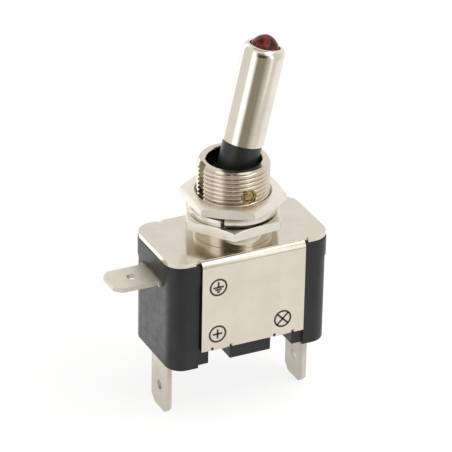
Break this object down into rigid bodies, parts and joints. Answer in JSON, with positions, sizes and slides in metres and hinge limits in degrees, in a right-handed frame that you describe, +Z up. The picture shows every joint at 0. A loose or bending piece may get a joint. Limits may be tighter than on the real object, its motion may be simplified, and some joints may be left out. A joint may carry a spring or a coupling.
{
  "type": "panel toggle switch",
  "caption": "Panel toggle switch with a lit lever tip, a threaded bushing with nuts and a split lock washer, a folded metal frame over a black housing, and blade terminals.",
  "frame": {"origin": "on the bushing's axis, in the panel seat, which is the top face of the back nut", "axes": "+Z up the bushing towards the lever, +X along the housing away from the earth blade, +Y across the housing"},
  "size_m": [0.0366, 0.0176, 0.0648],
  "materials": {
    "plated_bushing": "bright nickel plate",
    "plated_nut": "satin nickel plate",
    "spring_washer": "nickel-plated spring steel",
    "plated_sheet": "polished nickel plate",
    "black_moulding": "satin black moulding",
    "tinned_blade": "plated blade",
    "brass_pin": "plain brass",
    "stem_moulding": "dark moulding",
    "plated_sleeve": "bright nickel plate",
    "red_lamp": "clear deep red",
    "lead_wire": "tinned wire",
    "spring_wire": "spring wire",
    "rocker_brass": "plain brass strip",
    "silver_contact": "silver alloy",
    "resistor_coating": "matt coating",
    "red_insulation": "soft insulation",
    "black_insulation": "soft insulation"
  },
  "bodies": {
    "switch_body": {"bushing": "plated_bushing", "back_nut": "plated_nut", "frame_bracket": "plated_sheet", "case_cover": "black_moulding", "case": "black_moulding", "supply_terminal": "tinned_blade", "load_terminal": "tinned_blade", "earth_terminal": "tinned_blade", "pivot_pin": "brass_pin", "fixed_contact": "silver_contact", "series_resistor": "resistor_coating", "led_feed_wire": "red_insulation", "led_earth_wire": "black_insulation"},
    "washer_group": {"lock_washer": "spring_washer"},
    "nut_group": {"front_nut": "plated_nut"},
    "lever_group": {"lever_stem": "stem_moulding", "lever_sleeve": "plated_sleeve", "led_lamp": "red_lamp", "led_leads": "lead_wire", "plunger_spring": "spring_wire"},
    "plunger_group": {"plunger": "brass_pin"},
    "rocker_group": {"rocker_contact": "rocker_brass", "moving_contact": "silver_contact"}
  },
  "joints": [
    {"name": "lever_tilt", "type": "hinge", "parent": "switch_body", "child": "lever_group", "pos_m": [0, 0, 0.00475], "axis": [0, 1, 0], "range_deg": [-24.8, 0], "deforming": ["led_feed_wire", "led_earth_wire"]},
    {"name": "plunger_slide", "type": "slide", "parent": "lever_group", "child": "plunger_group", "axis": [0.2147, 0, 0.9767], "range_m": [0, 0.001], "stiffness_N_per_m": 300, "springref_m": -0.002, "deforming": ["plunger_spring"]},
    {"name": "rocker_tilt", "type": "hinge", "parent": "switch_body", "child": "rocker_group", "pos_m": [0, 0, -0.0159], "axis": [0, 1, 0], "range_deg": [0, 16]},
    {"name": "nut_lift", "type": "slide", "parent": "switch_body", "child": "washer_group", "axis": [0, 0, 1], "range_m": [0, 0.00525]},
    {"name": "nut_turn", "type": "hinge", "parent": "washer_group", "child": "nut_group", "pos_m": [0, 0, 0], "axis": [0, 0, 1], "range_deg": [0, 2521]}
  ],
  "couplings": [
    {"joint": "rocker_tilt", "follows": "lever_tilt", "ratio": -0.64516},
    {"joint": "nut_turn", "follows": "nut_lift", "rad_per_m": 8377.6}
  ]
}
